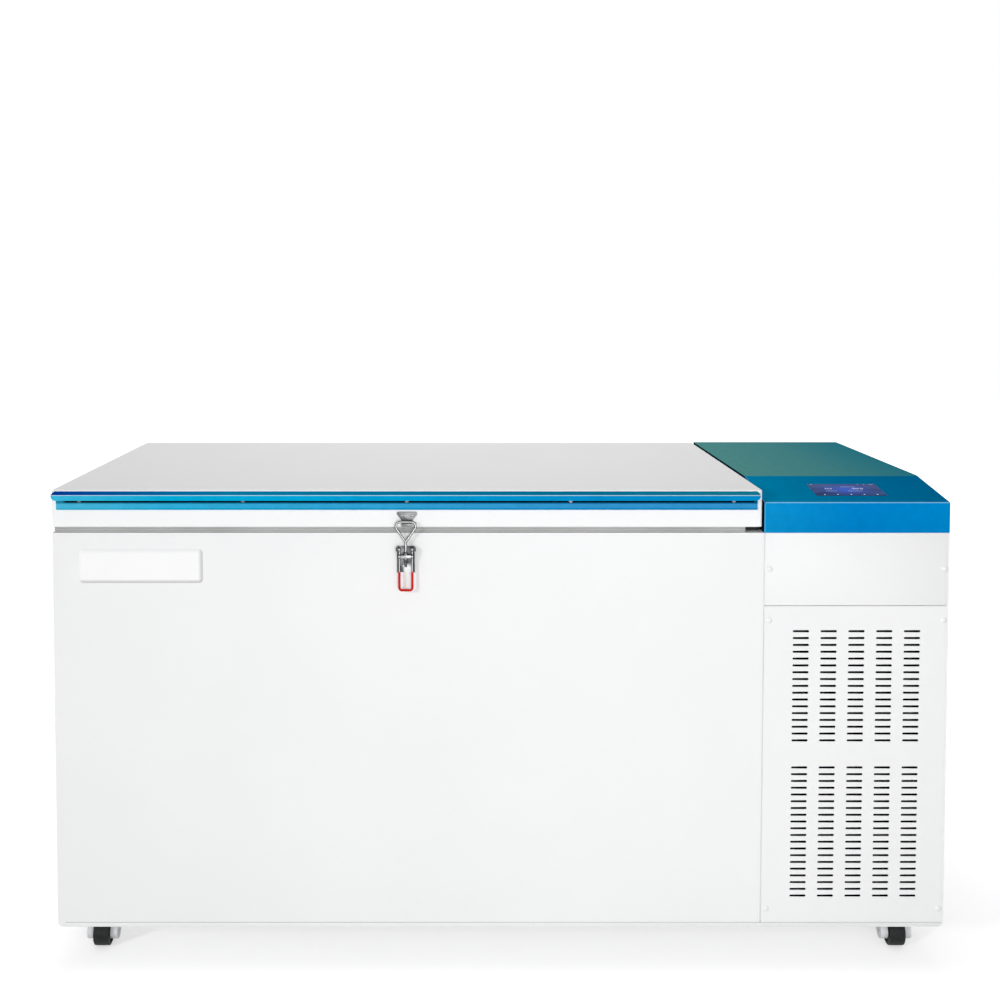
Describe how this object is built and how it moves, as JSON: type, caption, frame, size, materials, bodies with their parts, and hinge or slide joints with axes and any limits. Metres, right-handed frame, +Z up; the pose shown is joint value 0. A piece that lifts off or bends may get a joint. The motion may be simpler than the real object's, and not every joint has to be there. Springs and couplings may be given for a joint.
{
  "type": "chest ultra low temperature freezer",
  "caption": "Wide chest freezer for very low temperatures, with a hinged insulated lid, toggle latch, blue pull handle, vented machine compartment with touch display, and swivel casters.",
  "frame": {"origin": "on the floor, at the middle of the part's footprint", "axes": "+X along the width towards the machine compartment, +Y to the rear, +Z up"},
  "size_m": [1.94, 0.908, 1.0533],
  "materials": {
    "white_paint": "satin",
    "blue_paint": "satin",
    "blue_paint_light": "gloss",
    "black_paint": "satin",
    "compressor_iron": "satin",
    "stainless": "satin",
    "galvanised": "matte",
    "zinc": "satin",
    "copper": "satin",
    "fin_aluminium": "matte",
    "foam": "matte",
    "white_plastic": "satin",
    "fork_plastic": "satin",
    "grey_plastic": "matte",
    "black_plastic": "satin",
    "red_vinyl": "gloss",
    "display_glass": "gloss",
    "grey_rubber": "matte",
    "black_rubber": "matte",
    "wheel_rubber": "satin"
  },
  "bodies": {
    "cabinet": {"base_pan": "white_paint", "outer_casing": "white_paint", "chest_rear_panel": "white_paint", "insulation_foam": "foam", "inner_liner": "stainless", "evaporator_coil": "copper", "breaker_collar": "white_plastic", "compartment_frame": "galvanised", "upper_front_panel": "white_paint", "vent_panel": "white_paint", "panel_screw_caps": "white_plastic", "side_panel": "white_paint", "compartment_rear_panel": "white_paint", "top_cover": "blue_paint", "touch_display": "display_glass", "condenser_coil": "fin_aluminium", "fan_shroud": "galvanised", "fan_motor": "black_paint", "high_stage_compressor": "compressor_iron", "low_stage_compressor": "compressor_iron", "compressor_grommets": "black_rubber", "oil_separator": "black_paint", "filter_drier": "copper", "expansion_tank": "black_paint", "cascade_heat_exchanger": "foam", "refrigerant_lines": "copper", "electrical_box": "grey_plastic", "power_inlet": "black_plastic", "switch_frame": "black_plastic", "hinge_cabinet_leaves": "zinc", "hinge_pins": "zinc", "latch_base": "zinc", "latch_pivot_pins": "zinc", "caster_plates": "zinc"},
    "lid": {"lid_outer_pan": "white_paint", "lid_foam": "foam", "lid_inner_liner": "white_plastic", "lid_gasket": "grey_rubber", "lid_handle": "blue_paint_light", "catch_plate": "zinc", "hinge_lid_leaves": "zinc"},
    "lever": {"latch_lever": "zinc", "latch_grip": "red_vinyl"},
    "loop": {"latch_loop": "zinc", "latch_nuts": "zinc", "latch_trunnion": "zinc"},
    "fan": {"fan_blades": "black_plastic"},
    "rocker": {"switch_rocker": "black_plastic"},
    "swivel_front_left": {"caster_fork_front_left": "fork_plastic", "caster_axle_front_left": "zinc"},
    "wheel_front_left": {"caster_wheel_front_left": "wheel_rubber"},
    "swivel_front_right": {"caster_fork_front_right": "fork_plastic", "caster_axle_front_right": "zinc"},
    "wheel_front_right": {"caster_wheel_front_right": "wheel_rubber"},
    "swivel_rear_left": {"caster_fork_rear_left": "fork_plastic", "caster_axle_rear_left": "zinc"},
    "wheel_rear_left": {"caster_wheel_rear_left": "wheel_rubber"},
    "swivel_rear_right": {"caster_fork_rear_right": "fork_plastic", "caster_axle_rear_right": "zinc"},
    "wheel_rear_right": {"caster_wheel_rear_right": "wheel_rubber"}
  },
  "joints": [
    {"name": "lid_hinge", "type": "hinge", "parent": "cabinet", "child": "lid", "pos_m": [-0.2031, 0.446, 0.9656], "axis": [-1, 0, 0], "range_deg": [0, 80]},
    {"name": "latch_lever_swing", "type": "hinge", "parent": "cabinet", "child": "lever", "pos_m": [-0.2051, -0.442, 0.9255], "axis": [-1, 0, 0], "range_deg": [0, 150]},
    {"name": "latch_loop_pivot", "type": "hinge", "parent": "lever", "child": "loop", "pos_m": [-0.2051, -0.442, 0.91], "axis": [-1, 0, 0], "range_deg": [-150, 0]},
    {"name": "fan_spin", "type": "hinge", "parent": "cabinet", "child": "fan", "pos_m": [0.768, -0.3115, 0.268], "axis": [0, 1, 0], "continuous": true},
    {"name": "switch_rock", "type": "hinge", "parent": "cabinet", "child": "rocker", "pos_m": [0.803, 0.425, 0.238], "axis": [1, 0, 0], "range_deg": [-8, 8]},
    {"name": "swivel_front_left", "type": "hinge", "parent": "cabinet", "child": "swivel_front_left", "pos_m": [-0.896, -0.305, 0.088], "axis": [0, 0, 1], "continuous": true},
    {"name": "roll_front_left", "type": "hinge", "parent": "swivel_front_left", "child": "wheel_front_left", "pos_m": [-0.896, -0.333, 0.0315], "axis": [1, 0, 0], "continuous": true},
    {"name": "swivel_front_right", "type": "hinge", "parent": "cabinet", "child": "swivel_front_right", "pos_m": [0.896, -0.305, 0.088], "axis": [0, 0, 1], "continuous": true},
    {"name": "roll_front_right", "type": "hinge", "parent": "swivel_front_right", "child": "wheel_front_right", "pos_m": [0.896, -0.333, 0.0315], "axis": [1, 0, 0], "continuous": true},
    {"name": "swivel_rear_left", "type": "hinge", "parent": "cabinet", "child": "swivel_rear_left", "pos_m": [-0.896, 0.305, 0.088], "axis": [0, 0, 1], "continuous": true},
    {"name": "roll_rear_left", "type": "hinge", "parent": "swivel_rear_left", "child": "wheel_rear_left", "pos_m": [-0.896, 0.277, 0.0315], "axis": [1, 0, 0], "continuous": true},
    {"name": "swivel_rear_right", "type": "hinge", "parent": "cabinet", "child": "swivel_rear_right", "pos_m": [0.896, 0.305, 0.088], "axis": [0, 0, 1], "continuous": true},
    {"name": "roll_rear_right", "type": "hinge", "parent": "swivel_rear_right", "child": "wheel_rear_right", "pos_m": [0.896, 0.277, 0.0315], "axis": [1, 0, 0], "continuous": true}
  ],
  "couplings": [
    {"joint": "latch_loop_pivot", "follows": "latch_lever_swing", "ratio": -1}
  ]
}
